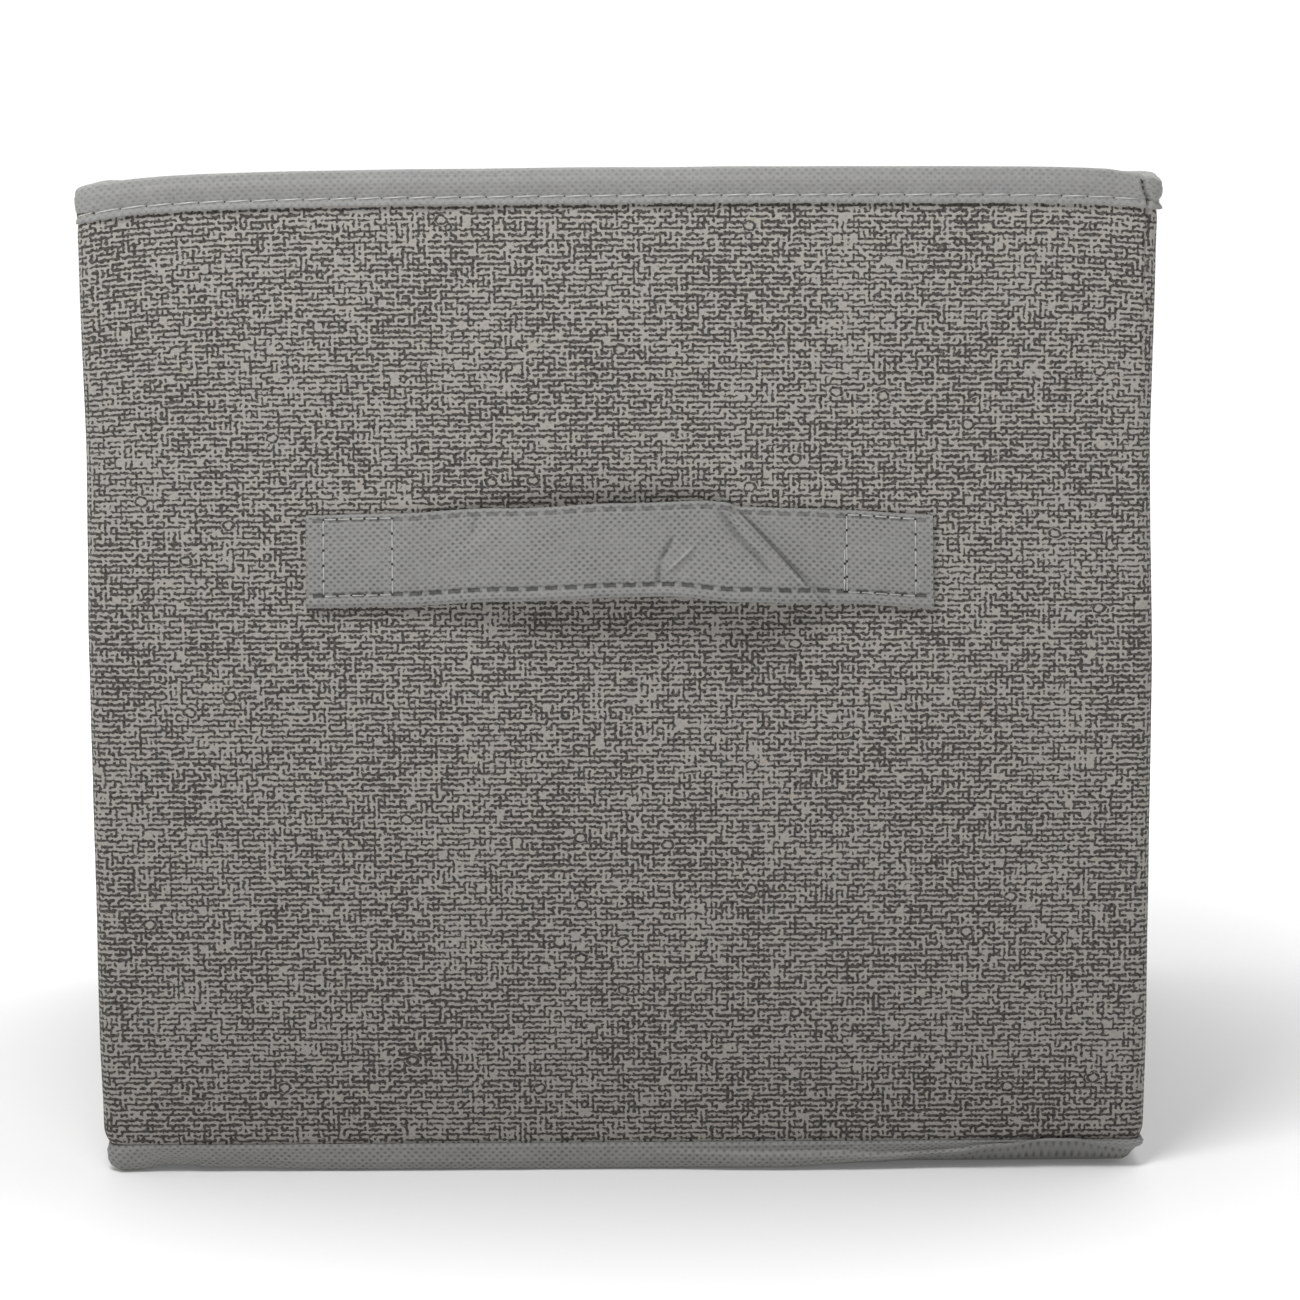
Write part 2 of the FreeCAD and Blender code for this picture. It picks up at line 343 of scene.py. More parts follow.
class Graph:
    """A material under construction, around one Principled shader."""

    def __init__(self, name, roughness, sheen=0.0):
        self.material = bpy.data.materials.new(name)
        self.material.use_nodes = True
        self.tree = self.material.node_tree
        self.shader = self.tree.nodes["Principled BSDF"]
        self.roughness = roughness
        self.shader.inputs["Specular IOR Level"].default_value = 0.25
        self.shader.inputs["Sheen Weight"].default_value = sheen
        self.shader.inputs["Sheen Roughness"].default_value = 0.5
        split = self.node("SeparateXYZ")
        self.tree.links.new(self.node("UVMap", uv_map="cloth").outputs[0], split.inputs[0])
        self.u = Value(self, split.outputs[0])
        self.v = Value(self, split.outputs[1])

    def node(self, kind, **settings):
        made = self.tree.nodes.new("ShaderNode" + kind)
        for key, value in settings.items():
            setattr(made, key, value)
        return made

    def feed(self, socket, value):
        if isinstance(value, Value):
            self.tree.links.new(value.socket, socket)
        else:
            socket.default_value = value

    def math(self, operation, *values):
        made = self.node("Math", operation=operation)
        for socket, value in zip(made.inputs, values):
            self.feed(socket, value)
        return Value(self, made.outputs[0])

    def vector(self, x, y, z=0.0):
        made = self.node("CombineXYZ")
        for socket, value in zip(made.inputs, (x, y, z)):
            self.feed(socket, value)
        return Value(self, made.outputs[0])

    def random(self, x, y, seed):
        """A steady random number from 0 to 1 for each whole x, y and seed."""
        made = self.node("TexWhiteNoise", noise_dimensions="3D")
        self.feed(made.inputs["Vector"], self.vector(x, y, seed))
        return Value(self, made.outputs["Value"])

    def noise(self, size, seed, detail=2.0, stretch=1.0):
        """Soft noise from 0 to 1 with swells of about size; stretch draws it out along u."""
        made = self.node("TexNoise", noise_dimensions="3D")
        self.feed(made.inputs["Vector"], self.vector(self.u / (size * stretch), self.v / size, seed))
        made.inputs["Scale"].default_value = 1.0
        made.inputs["Detail"].default_value = detail
        return Value(self, made.outputs["Fac"])

    def swing(self, size, seed, reach, detail=2.0):
        """Soft noise about 0, as the amount by which a place or width is pushed about."""
        return (self.noise(size, seed, detail) - 0.5) * reach

    def soft(self, value, low, high, start=0.0, end=1.0):
        """An easy S from start to end as value goes from low to high."""
        made = self.node("MapRange", interpolation_type="SMOOTHSTEP")
        for key, number in (("Value", value), ("From Min", low), ("From Max", high),
                            ("To Min", start), ("To Max", end)):
            self.feed(made.inputs[key], number)
        return Value(self, made.outputs["Result"])

    def mix(self, share, first, second):
        """A colour between two, which are colours or earlier results."""
        made = self.node("Mix", data_type="RGBA")
        self.feed(made.inputs["Factor"], share)
        for socket, colour in ((made.inputs[6], first), (made.inputs[7], second)):
            self.feed(socket, colour if isinstance(colour, Value) else (*colour, 1.0))
        return Value(self, made.outputs[2])

    def shade(self, colour, share):
        """The colour times a number."""
        made = self.node("Mix", data_type="RGBA", blend_type="MULTIPLY")
        made.inputs["Factor"].default_value = 1.0
        self.feed(made.inputs[6], colour)
        grey = self.node("CombineColor")
        for socket in grey.inputs:
            self.feed(socket, share)
        self.tree.links.new(grey.outputs[0], made.inputs[7])
        return Value(self, made.outputs[2])

    def finish(self, colour, height, depth, rubbed=0.0):
        """Joins the colour, a patchy roughness and the height map, as bump of that depth, to the shader."""
        self.feed(self.shader.inputs["Base Color"], colour)
        patches = self.noise(5 * MM, 11.0, detail=3.0) * 0.16 - 0.08
        self.feed(self.shader.inputs["Roughness"], patches + self.roughness - rubbed)
        relief = self.node("Bump")
        relief.inputs["Strength"].default_value = 0.8
        relief.inputs["Distance"].default_value = depth
        self.feed(relief.inputs["Height"], height)
        self.tree.links.new(relief.outputs[0], self.shader.inputs["Normal"])
        return self.material


# Spacing of the bonding dots along and between their rows.
DOT_PITCH = 2.0 * MM
DOT_ROW = 0.95 * MM


def bond_dots(g, radius=0.36 * MM):
    """The heat-bonded dots of non-woven cloth, in staggered rows: 1 in a dot, 0 between."""
    u = g.u + g.swing(3 * MM, 21.0, 0.25 * MM)
    v = g.v + g.swing(3 * MM, 22.0, 0.20 * MM)
    shift = (v / DOT_ROW).run("FLOOR").run("FLOORED_MODULO", 2.0) * 0.5
    across = ((u / DOT_PITCH + shift).run("FRACT") - 0.5) * DOT_PITCH
    along = ((v / DOT_ROW).run("FRACT") - 0.5) * DOT_ROW
    away = (across * across * 0.55 + along * along).run("SQRT")
    return g.soft(away, radius * 0.25, radius * 1.45, 1.0, 0.0)


def fibres(g):
    """Fine, tangled fibre grain, from 0 to 1."""
    return g.noise(0.35 * MM, 31.0, detail=3.0) * 0.6 + g.noise(0.9 * MM, 32.0) * 0.4


def line_mark(g, start, end, width):
    """1 along a line between two points given in millimetres, fading to 0 at its sides and ends."""
    ax, av, bx, bv = (c * MM for c in (*start, *end))
    length = math.hypot(bx - ax, bv - av)
    cx, cv = (bx - ax) / length, (bv - av) / length
    u, v = g.u - ax, g.v - av
    along = u * cx + v * cv
    side = (u * cv - v * cx).run("ABSOLUTE")
    ends = g.soft(along, 0.0, 2 * MM) * g.soft(along, length - 2 * MM, length, 1.0, 0.0)
    return g.soft(side, width * 0.2, width, 1.0, 0.0) * ends


# The strap's two weld lines: distance from its middle, and how dark.
WELD_LINES = ((-8.6 * MM, 0.72), (10.3 * MM, 0.40))
WELD_PITCH = 4.9 * MM
WELD_LENGTH = 3.1 * MM
WELD_WIDTH = 0.98 * MM


def weld_marks(g):
    """Darkness and depth of the strap's two dashed weld lines. v is 0 along the strap's middle."""
    mark = dip = 0.0
    along = ((g.u / WELD_PITCH).run("FRACT") - 0.5).run("ABSOLUTE") * WELD_PITCH
    dashes = g.soft(along, WELD_LENGTH * 0.46, WELD_LENGTH * 0.55, 1.0, 0.0)
    worn = g.soft(g.noise(2 * MM, 51.0), 0.2, 0.8, 0.7, 1.0)
    for place, strength in WELD_LINES:
        away = (g.v - place).run("ABSOLUTE")
        dash = g.soft(away, WELD_WIDTH * 0.38, WELD_WIDTH * 0.62, 1.0, 0.0) * dashes * worn
        mark = dash * strength + mark
        dip = dash + dip
    return mark, dip


# Painted highlights on the ridges (positive) and painted shade in the grooves (negative) of the strap's
# folds: start, end, half width, strength.
PAINTED_CREASE_LIGHT = [
    ((30.1, 10.8), (47.4, -7.3), 0.38, -0.46),
    ((29.2, 10.8), (46.6, -7.4), 0.45, 0.26),
    ((24.4, 10.2), (38.9, -5.2), 0.75, -0.26),
    ((31.6, -0.4), (35.4, -4.4), 0.50, 0.14),
    ((14.0, 3.6), (10.2, -3.5), 0.60, -0.22),
    ((10.2, -3.2), (9.8, -9.4), 0.60, -0.24),
    ((19.4, 1.4), (11.6, -5.6), 0.50, 0.20),
    ((1.6, -4.5), (3.6, -9.5), 0.50, 0.12),
]


def plain_cloth(name, light, dot_shade, welds=False):
    """Grey spun-bond cloth with its bonding dots. welds adds the strap's weld lines, and painted shade in its
    crease grooves with painted highlights on its crease ridges.
    """
    g = Graph(name, roughness=0.86, sheen=0.12)
    dots = bond_dots(g)
    grain = fibres(g)
    faint = g.noise(6 * MM, 44.0, detail=1.0)
    tone = 1.0 - dots * g.soft(faint, 0.25, 0.75, dot_shade * 0.55, dot_shade)
    tone = tone * (0.72 + grain * 0.60)
    tone = tone * (0.92 + g.noise(14 * MM, 41.0, detail=3.0) * 0.16)
    tone = tone * (0.86 + g.noise(1.7 * MM, 45.0) * 0.28)
    height = grain * 0.35 - dots
    if welds:
        mark, dip = weld_marks(g)
        tone = tone * (1.0 - mark)
        # Painted shade darkens the strap's crease grooves and painted highlights lighten its crease ridges.
        for start, end, width, strength in PAINTED_CREASE_LIGHT:
            tone = tone * (1.0 + line_mark(g, start, end, width * MM) * strength)
        height = height * (1.0 - dip) - dip * 2.5
    bluish = tuple(c * k for c, k in zip(light, (0.99, 0.98, 1.03)))
    colour = g.mix(g.soft(g.noise(9 * MM, 43.0), 0.55, 0.8, 0.0, 0.5), light, bluish)
    return g.finish(g.shade(colour, tone), height, 0.10 * MM, rubbed=dots * 0.18)


# Grid of the printed maze, and a distance that is far from any stroke.
PRINT_COLUMN = 1.34 * MM
PRINT_ROW = 1.40 * MM
FAR = 5 * MM


def maze_print(g, dots):
    """Dark strokes wandering over a square grid, mostly along the rows, like coarse weave. 1 is ink."""
    u = g.u + g.swing(2.6 * MM, 61.0, 0.9 * MM) + g.swing(1.2 * MM, 67.0, 0.75 * MM, detail=1.0)
    v = g.v + g.swing(3.4 * MM, 62.0, 0.8 * MM) + g.swing(1.3 * MM, 66.0, 0.75 * MM, detail=1.0)
    column, line = u / PRINT_COLUMN, v / PRINT_ROW
    i, j = (column + 0.5).run("FLOOR"), (line + 0.5).run("FLOOR")
    dx, dy = (column - i) * PRINT_COLUMN, (line - j) * PRINT_ROW
    upright = g.soft(g.noise(7 * MM, 63.0, detail=1.0, stretch=1.4), 0.60, 0.68)
    crowd = g.noise(24 * MM, 65.0) - 0.5

    def away_from(x, y, chosen):
        """Distance from the point (x, y) away, or far where it isn't chosen."""
        return (x * x + y * y).run("SQRT") + (1.0 - chosen) * FAR

    def half_stroke(cell_i, cell_j, seed, chance, side_x, side_y):
        """Distance to the half of a stroke that runs from the cell's middle towards one side."""
        there = g.math("LESS_THAN", g.random(cell_i, cell_j, seed), chance)
        back_x = (dx * side_x).run("MINIMUM", 0.0) if side_x else dx
        back_y = (dy * side_y).run("MINIMUM", 0.0) if side_y else dy
        return away_from(back_x, back_y, there)

    along, up = (1.5, 0.72 - upright * 0.34), (2.5, 0.19 + upright * 0.26)
    stub_side = g.random(i, j, 5.5).run("GREATER_THAN", 0.5) * 2.0 - 1.0
    off = dy * stub_side
    past = (off - 0.42 * MM).run("MAXIMUM", 0.0) + off.run("MINIMUM", 0.0)
    near = half_stroke(i, j, *along, 1, 0)
    for shape in (
            half_stroke(i - 1.0, j, *along, -1, 0),
            half_stroke(i, j, *up, 0, 1),
            half_stroke(i, j - 1.0, *up, 0, -1),
            away_from(dx, dy, g.math("LESS_THAN", g.random(i, j, 3.5), crowd * 0.9 + 0.70)),
            away_from(dx, past, g.math("LESS_THAN", g.random(i, j, 4.5), 0.42))):
        near = near.run("MINIMUM", shape)

    # Here and there a small ring interrupts the maze.
    cells = g.node("TexVoronoi", voronoi_dimensions="2D")
    cells.inputs["Scale"].default_value = 1.0
    cells.inputs["Randomness"].default_value = 0.9
    g.feed(cells.inputs["Vector"], g.vector(u / (11 * MM), v / (9 * MM)))
    from_ring = Value(g, cells.outputs["Distance"]) * (10 * MM)
    pick = g.node("SeparateColor")
    g.tree.links.new(cells.outputs["Color"], pick.inputs[0])
    chosen = g.math("LESS_THAN", Value(g, pick.outputs[0]), 0.08)
    in_ring = g.math("LESS_THAN", from_ring, 1.75 * MM) * chosen
    near = near * (1.0 - in_ring) + (from_ring - 1.25 * MM).run("ABSOLUTE") * in_ring

    weight = 0.320 * MM + g.swing(0.8 * MM, 64.0, 0.70 * MM) + crowd * (0.30 * MM) + dots * (0.15 * MM)
    return g.soft(near - weight, -0.13 * MM, 0.13 * MM, 1.0, 0.0)


WARM_GROUND = (0.325, 0.306, 0.279)
COOL_GROUND = (0.308, 0.296, 0.278)
PINK_TINGE = (0.330, 0.265, 0.238)
YELLOW_TINGE = (0.312, 0.300, 0.205)
INK = (0.037, 0.033, 0.029)


def printed_cloth(name):
    """Pale warm-grey spun-bond cloth, printed with the dark maze."""
    g = Graph(name, roughness=0.88, sheen=0.08)
    dots = bond_dots(g, radius=0.30 * MM)
    ink = maze_print(g, dots)
    grain = fibres(g)
    tint = g.mix(g.soft(g.noise(5 * MM, 71.0), 0.35, 0.7), WARM_GROUND, COOL_GROUND)
    tint = g.mix(g.soft(g.noise(3.2 * MM, 72.0), 0.66, 0.78, 0.0, 0.55), tint, PINK_TINGE)
    tint = g.mix(g.soft(g.noise(3.6 * MM, 73.0), 0.68, 0.80, 0.0, 0.50), tint, YELLOW_TINGE)
    worn = g.soft(g.noise(1.1 * MM, 74.0), 0.15, 0.75, 0.78, 1.0)
    colour = g.mix(ink * worn, tint, INK)
    tone = (1.0 - dots * (0.14 + ink * 0.46)) * (0.72 + grain * 0.56)
    height = grain * 0.4 - dots * 0.8 - ink * 0.25
    return g.finish(g.shade(colour, tone), height, 0.09 * MM, rubbed=ink * 0.10 + dots * 0.12)


def greyboard(name):
    """Uncoated recycled board, flecked and a little brown."""
    g = Graph(name, roughness=0.92)
    fleck = g.soft(g.noise(0.8 * MM, 81.0, detail=4.0), 0.60, 0.72)
    cloud = g.mix(g.noise(6 * MM, 82.0, detail=3.0), (0.30, 0.26, 0.21), (0.36, 0.32, 0.27))
    colour = g.mix(fleck * 0.5, cloud, (0.16, 0.14, 0.12))
    return g.finish(colour, g.noise(0.6 * MM, 83.0, detail=3.0), 0.05 * MM)


def sewing_thread(name):
    """Pale polyester thread, with its twist."""
    g = Graph(name, roughness=0.55, sheen=0.15)
    twist = (g.u * 1400.0 + g.v * 900.0).run("SINE") * 0.5 + 0.5
    colour = g.mix(twist * 0.5, (0.50, 0.50, 0.48), (0.30, 0.30, 0.29))
    return g.finish(colour, twist, 0.04 * MM)


def painted_hole_shade(name):
    """Painted shade of a needle hole in cloth, near black."""
    g = Graph(name, roughness=0.95)
    colour = g.mix(g.noise(0.5 * MM, 91.0), (0.020, 0.019, 0.018), (0.05, 0.048, 0.045))
    return g.finish(colour, g.noise(0.3 * MM, 92.0), 0.05 * MM)


PRINTED = printed_cloth("printed_cloth")
PLAIN = plain_cloth("plain_cloth", (0.250, 0.250, 0.242), dot_shade=0.30)
STRAP = plain_cloth("strap_cloth", (0.236, 0.236, 0.227), dot_shade=0.62, welds=True)
BASE = plain_cloth("base_cloth", (0.266, 0.265, 0.254), dot_shade=0.56)
LINING = plain_cloth("lining_cloth", (0.33, 0.33, 0.32), dot_shade=0.28)
BOARD = greyboard("greyboard")
THREAD = sewing_thread("thread")
HOLE_SHADE = painted_hole_shade("painted_hole_shade")


# ---- walls
class Stretch:
    """A stretch of the walls: a stiff wall that rides on one body, or a bend between two that stays where it
    is made.
    """

    def __init__(self, name, start, end, *bodies):
        self.name, self.start, self.end, self.bodies = name, start, end, bodies

    def under_seam(self, u):
        """True where this stretch passes under its neighbour at the open corner."""
        if self.name == "front":
            return u > U_SEAM + 1e-6
        return self.name == "right_front" and u < U_SEAM - 1e-6

    def flat_part(self):
        """Start and end without the cloth that runs round the open corner."""
        start = U_SIDE if self.name == "right_front" else self.start
        end = STRAIGHT_X if self.name == "front" else self.end
        return start, end

    def places(self, wall_size, bend_size):
        """u values along the stretch, with one each side of the seam at the open corner."""
        size = wall_size if len(self.bodies) == 1 else bend_size
        whole = range(math.ceil(self.start / size), math.floor(self.end / size) + 1)
        found = [self.start, self.end] + [k * size for k in whole]
        if self.name in ("front", "right_front"):
            found += [U_SEAM, U_SEAM + (0.3 * MM if self.name == "front" else -0.3 * MM)]
            found += steps(U_SEAM - 4 * MM, U_SEAM + 3 * MM, 0.25 * MM)
            found = [u for u in found if self.start <= u <= self.end]
        return sorted(set(round(u, 7) for u in found))

    def attach(self, piece, depth):
        """Rides the piece on its wall; a bend's piece is fixed where it is made, on neither body. depth is
        the piece's own distance inside.
        """
        if len(self.bodies) == 1:
            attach(piece, self.bodies[0])
            return
        start = wall_point(self.start, -depth, HEIGHT / 2)
        end = wall_point(self.end, -depth, HEIGHT / 2)
        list(self.bodies)
        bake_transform(piece)


WALLS = [
    Stretch("front", -STRAIGHT_X + CORNER_LAP, U_SIDE - 0.5 * MM, "front_wall"),
    Stretch("right_front", STRAIGHT_X, U_CREASE - CREASE_LAP, "right_front"),
    Stretch("right_rear", U_CREASE + CREASE_LAP, U_BACK - CORNER_LAP, "right_rear"),
    Stretch("back", U_REAR + CORNER_LAP, 2 * U_END - U_REAR - CORNER_LAP, "back_wall"),
    Stretch("left_rear", -U_BACK + CORNER_LAP, -U_CREASE - CREASE_LAP, "left_rear"),
    Stretch("left_front", -U_CREASE + CREASE_LAP, -U_SIDE - CORNER_LAP, "left_front"),
]
BENDS = [
    Stretch("right_crease", U_CREASE - CREASE_LAP, U_CREASE + CREASE_LAP, "right_front", "right_rear"),
    Stretch("back_right_corner", U_BACK - CORNER_LAP, U_REAR + CORNER_LAP, "right_rear", "back_wall"),
    Stretch("back_left_corner", -U_REAR - CORNER_LAP, -U_BACK + CORNER_LAP, "back_wall", "left_rear"),
    Stretch("left_crease", -U_CREASE - CREASE_LAP, -U_CREASE + CREASE_LAP, "left_rear", "left_front"),
    Stretch("front_left_corner", -U_SIDE - CORNER_LAP, -STRAIGHT_X + CORNER_LAP, "left_front", "front_wall"),
]
# How far the cover and the binding pass under the neighbouring stretch at the open corner.
COVER_UNDERLAP = 0.45 * MM
BINDING_UNDERLAP = 0.7 * MM
CLOTH_TOP = HEIGHT - 2 * MM


def wall_heights(low):
    """Heights for a wall's cloth, closer together near its seams."""
    foot, rim = low + 8 * MM, BINDING_LOW - 10 * MM
    return steps(low, foot, 0.8 * MM) + steps(foot, rim, 2.4 * MM)[1:-1] + steps(rim, CLOTH_TOP, 0.8 * MM)


def run_length(places, levels, point):
    """Length of the cloth along the walls, half way up."""
    middle = [point(u, levels[len(levels) // 2]) for u in places]
    return sum((q - p).length for p, q in zip(middle, middle[1:]))


def dress(stretch, piece, layer, depth):
    stretch.attach(piece, depth)
    node = f"{stretch.name}_{layer}"
    if node in frame["nodes"]:
        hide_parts(node)


def cover(stretch):
    """The printed outer cloth."""
    def point(u, z):
        under = COVER_UNDERLAP if stretch.under_seam(u) else 0.0
        return wall_point(u, cover_relief(u, z) - under, z)

    places, heights = stretch.places(2.0 * MM, 0.7 * MM), wall_heights(WALL_LOW - 0.2 * MM)
    piece = make_shell(f"{stretch.name}_printed_cover", places, heights, PRINTED, point)
    flat = (run_length(places, heights, point), HEIGHT - WALL_LOW)
    dress(stretch, piece, "cover", 0.0)


def lining(stretch):
    """The thin cloth inside the walls."""
    def point(u, z):
        return wall_point(u, -WALL - lining_relief(u, z), z)

    places, heights = stretch.places(3.0 * MM, 0.9 * MM), wall_heights(WALL_LOW)[::-1]
    piece = make_shell(f"{stretch.name}_inner_lining", places, heights, LINING, point)
    flat = (run_length(places, heights, point), HEIGHT - WALL_LOW)
    dress(stretch, piece, "lining", WALL)


def board(stretch):
    """The greyboard stiffener, hidden between cover and lining."""
    low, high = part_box(f"{stretch.name}_board")
    inset, spacing = 3.0 * MM, 12 * MM
    near, far = 0.9 * MM, WALL - 0.35 * MM
    start, end = stretch.flat_part()
    places, heights = steps(start + inset, end - inset, spacing), steps(low.z, high.z, spacing)
    piece = make_shell(f"{stretch.name}_stiffener", places, heights, BOARD,
                       outer=lambda u, z: wall_point(u, -near, z), inner=lambda u, z: wall_point(u, -far, z))
    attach(piece, stretch.bodies[0])
    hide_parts(f"{stretch.name}_board")


def binding_section(thickness):
    """The binding's section as (n, z), up its outer leg, over the top and down its inner leg."""
    half = WALL / 2 + thickness
    top = HEIGHT - (BINDING - thickness)
    round_off = 2.0 * MM
    leg = steps(BINDING_LOW, HEIGHT - 2.2 * MM, 0.45 * MM)
    over = []
    for k in range(1, 12):
        a = math.pi * k / 12
        n = half * math.copysign(abs(math.cos(a)) ** 0.6, math.cos(a))
        over.append((n, top - round_off + round_off * math.sin(a) ** 0.75))
    whole = [(half, z) for z in leg] + over + [(-half, z) for z in reversed(leg)]
    return [(n - WALL / 2, z) for n, z in whole]


OUTER_SECTION = binding_section(BINDING)
INNER_SECTION = binding_section(0.12 * MM)


def binding_point(u, n, z):
    """A point of the binding: its section, pinched by its stitches and dipping at the open corner."""
    outside = n > -WALL / 2
    relief = hem_relief(u, z) if z < HEIGHT - 2.5 * MM else 0.0
    n += relief if outside else -relief
    if outside:
        n -= 0.55 * MM * smooth((-STRAIGHT_X + 2 * MM - u) / (4 * MM)) * smooth((u + U_CREASE) / (60 * MM))
        flare = 0.5 * MM * bump(z - BINDING_LOW, 1.6 * MM) * bump(u - U_SIDE + 1 * MM, 4 * MM)
        lobe = 0.35 * MM * bump(u - U_SEAM - 3.0 * MM, 2.2 * MM) * smooth((z - RIM_SEAM_Z) / (3 * MM))
        pinched = 0.45 * MM * bump(z - RIM_SEAM_Z, 1.2 * MM) * bump(u - U_SEAM - 3 * MM, 3 * MM)
        n += flare + lobe - pinched - corner_groove(u, z) * 1.4
    return wall_point(u, n, z + rim_line(u) * smooth((z - BINDING_LOW) / (HEIGHT - BINDING_LOW)))


def binding(stretch):
    """The plain cloth folded over the rim."""
    lengths = [0.0]
    for (n0, z0), (n1, z1) in zip(OUTER_SECTION, OUTER_SECTION[1:]):
        lengths.append(lengths[-1] + math.hypot(n1 - n0, z1 - z0))

    def face(section):
        """The function that places point k of a section at u."""
        def point(u, k):
            n, z = section[k]
            under = BINDING_UNDERLAP if stretch.under_seam(u) else 0.0
            return binding_point(u, n - (under if n > -WALL / 2 else -under), z)
        return point

    places, around = stretch.places(RIM_PITCH / 10, RIM_PITCH / 10), range(len(lengths))
    piece = make_shell(f"{stretch.name}_binding", places, around, PLAIN, face(OUTER_SECTION),
                       inner=face(INNER_SECTION), uv=lambda u, k: (u, lengths[k] + BINDING_LOW))
    flat = (run_length(places, around, face(OUTER_SECTION)), lengths[-1])
    dress(stretch, piece, "rim_binding", WALL / 2)


# ---- stitches
THREAD_RADIUS = 0.15 * MM
THREAD_SIDES = 6
HOLE_RADIUS = 0.38 * MM
HOLE_SIDES = 8
# Height of the thread's middle over the cloth along one stitch, in thread radii.
THREAD_LIFT = (-1.3, 0.0, 0.55, 0.8, 0.8, 0.55, 0.0, -1.3)
STITCH_SHARES = [k / (len(THREAD_LIFT) - 1) for k in range(len(THREAD_LIFT))]
THREAD_FACES = ring_faces(len(THREAD_LIFT), THREAD_SIDES)


def stitch(points, faces, corners, slots, path, outward):
    """Adds one stitch along a path on the cloth: its thread, and at its start a flat disc of painted shade
    for the needle hole.
    """
    along = (path[-1] - path[0]).normalized()
    across = outward.cross(along).normalized()
    base = len(points)
    for lift, spot in zip(THREAD_LIFT, path):
        centre = spot + outward * lift * THREAD_RADIUS
        for k in range(THREAD_SIDES):
            a = 2 * math.pi * k / THREAD_SIDES
            points.append(centre + (across * math.cos(a) + outward * math.sin(a)) * THREAD_RADIUS)
    faces += [tuple(base + i for i in face) for face in THREAD_FACES]
    length = (path[-1] - path[0]).length
    for s0, s1 in zip(STITCH_SHARES, STITCH_SHARES[1:]):
        for k in range(THREAD_SIDES):
            t0, t1, w0, w1 = length * s0, length * s1, k * 0.2 * MM, (k + 1) * 0.2 * MM
            corners.append([(t0, w0), (t0, w1), (t1, w1), (t1, w0)])
    # The needle hole is a flat near-black disc just off the cloth: painted shade, not an opening.
    centre = len(points)
    points.append(path[0] + outward * 0.08 * MM)
    for k in range(HOLE_SIDES):
        a = 2 * math.pi * k / HOLE_SIDES
        rim = (along * math.cos(a) + across * math.sin(a)) * HOLE_RADIUS
        points.append(path[0] + rim + outward * 0.05 * MM)
        faces.append((centre, centre + 1 + k, centre + 1 + (k + 1) % HOLE_SIDES))
        corners.append([(0.0, 0.0), (0.001, 0.0), (0.0, 0.001)])
    slots += [0] * len(THREAD_FACES) + [1] * HOLE_SIDES


def make_stitches(name, runs):
    """All the stitches of one seam as a piece. runs holds (path, outward) for each stitch."""
    points, faces, corners, slots = [], [], [], []
    for path, outward in runs:
        stitch(points, faces, corners, slots, path, outward)
    piece = make_mesh(name, points, faces, corners, [THREAD, HOLE_SHADE], face_slot=slots)
    return piece


def seam_line(start, end, pitch, gap=0.0):
    """A straight seam's stitches, from gap after its start: for each, the places that its thread crosses."""
    (x0, y0), (x1, y1) = start, end
    length = math.hypot(x1 - x0, y1 - y0)
    places = steps(gap, length - gap, pitch)
    stitches = []
    for k0, k1 in zip(places, places[1:]):
        shares = [(k0 + (k1 - k0) * t) / length for t in STITCH_SHARES]
        stitches.append([(x0 + (x1 - x0) * t, y0 + (y1 - y0) * t) for t in shares])
    return stitches


def box_sides(x0, y0, x1, y1):
    """The four sides of a box, as pairs of corners."""
    corners = [(x0, y0), (x1, y0), (x1, y1), (x0, y1)]
    return list(zip(corners, corners[1:] + corners[:1]))


def rim_stitches(stretch):
    """The seam that holds the binding, outside and inside one stretch. Each stitch leans a little."""
    start, end = stretch.flat_part()
    lean = 0.34 * MM
    runs = []
    for n, way in ((BINDING, 1), (-WALL - BINDING, -1)):
        for k in range(math.ceil(start / RIM_PITCH - 0.5), math.ceil(end / RIM_PITCH - 0.5)):
            u = k * RIM_PITCH
            _, _, nx, ny = outline(u + RIM_PITCH / 2)
            z = RIM_SEAM_Z + 0.12 * MM * ripple(u, 0.0, 9 * MM, 15.0)
            path = [binding_point(u + t * RIM_PITCH, n, z + (t - 0.5) * lean) for t in STITCH_SHARES]
            runs.append((path, Vector((nx, ny, 0)) * way))
    if runs:
        piece = make_stitches(f"{stretch.name}_rim_stitches", runs)
        stretch.attach(piece, WALL / 2)
        if len(stretch.bodies) == 1:
            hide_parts(f"{stretch.name}_rim_stitching")


# ---- bottom tray
# How far the tray's lower edge lifts off the ground along the front.
EDGE_LIFT = in_mm((40, 0.0), (66, 0.8), (84, 2.5), (98, 4.8), (110, 7.2), (118, 7.1), (125, 5.2), (131, 4.0),
                  (140, 2.6), (155, 0.6), (172, 0.0))
# Height of the fold in the band along the front; below it the cloth stands out.
FOLD_LINE = in_mm((0, 5.4), (41, 4.6), (56, 4.2), (67, 2.9), (81, 2.1), (93, 3.2), (105, 4.4), (118, 5.4),
                  (140, 5.6))
FOOT_IN = -4.2 * MM
# The rings of the tray's floor, as shares of the ring of its foot.
FLOOR_SHARES = [0.12, 0.3, 0.5, 0.7, 0.85, 0.95]


def band_raise(u):
    """How far the tray's lower edge lifts, most near the right corner and a little beside the left one."""
    from_left = u + STRAIGHT_X
    left = 1.4 * MM * bump(from_left - 13 * MM, 6 * MM) + 0.6 * MM * bump(from_left - 30 * MM, 14 * MM)
    return between(EDGE_LIFT, u) + left


